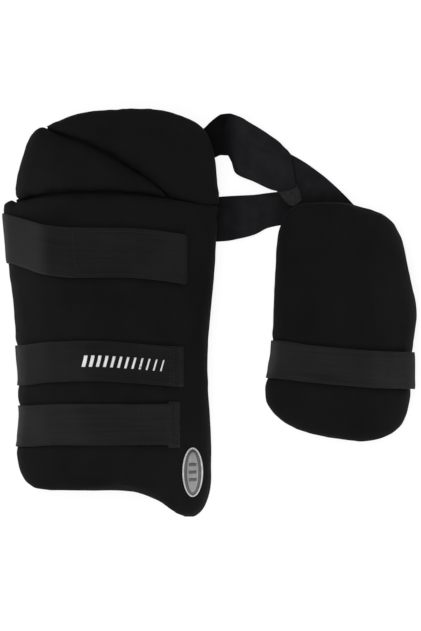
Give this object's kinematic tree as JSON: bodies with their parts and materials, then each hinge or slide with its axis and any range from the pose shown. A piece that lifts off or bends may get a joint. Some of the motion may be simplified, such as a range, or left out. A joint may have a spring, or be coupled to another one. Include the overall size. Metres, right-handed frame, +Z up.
{
  "type": "cricket thigh guard",
  "caption": "Padded outer and inner thigh guards joined by an elastic waist belt, with elastic leg straps; protects both thighs of a cricket batter.",
  "frame": {"origin": "middle of the footprint, on the surface that the guards lie on", "axes": "+Z up from the surface through the guards' faces, +Y towards the waist, +X from the outer guard towards the inner guard"},
  "size_m": [0.4124, 0.407, 0.0828],
  "materials": {
    "pad_cloth": "matte knit over foam",
    "elastic": "matte ribbed woven elastic",
    "belt_webbing": "matte brushed elastic",
    "hook_tape": "nylon hook tape",
    "badge_foil": "satin printed vinyl"
  },
  "bodies": {
    "root": {"thigh_panel": "pad_cloth", "side_panel": "pad_cloth", "hip_panel": "pad_cloth", "inner_pad": "pad_cloth", "strap_top": "elastic", "strap_middle": "elastic", "strap_bottom": "elastic", "inner_strap": "elastic", "tab_top": "hook_tape", "tab_middle": "hook_tape", "tab_bottom": "hook_tape", "inner_tab": "hook_tape", "belt_back": "belt_webbing", "belt_front": "belt_webbing", "belt_side": "belt_webbing", "belt_tongue": "hook_tape", "badge": "badge_foil"}
  },
  "joints": []
}
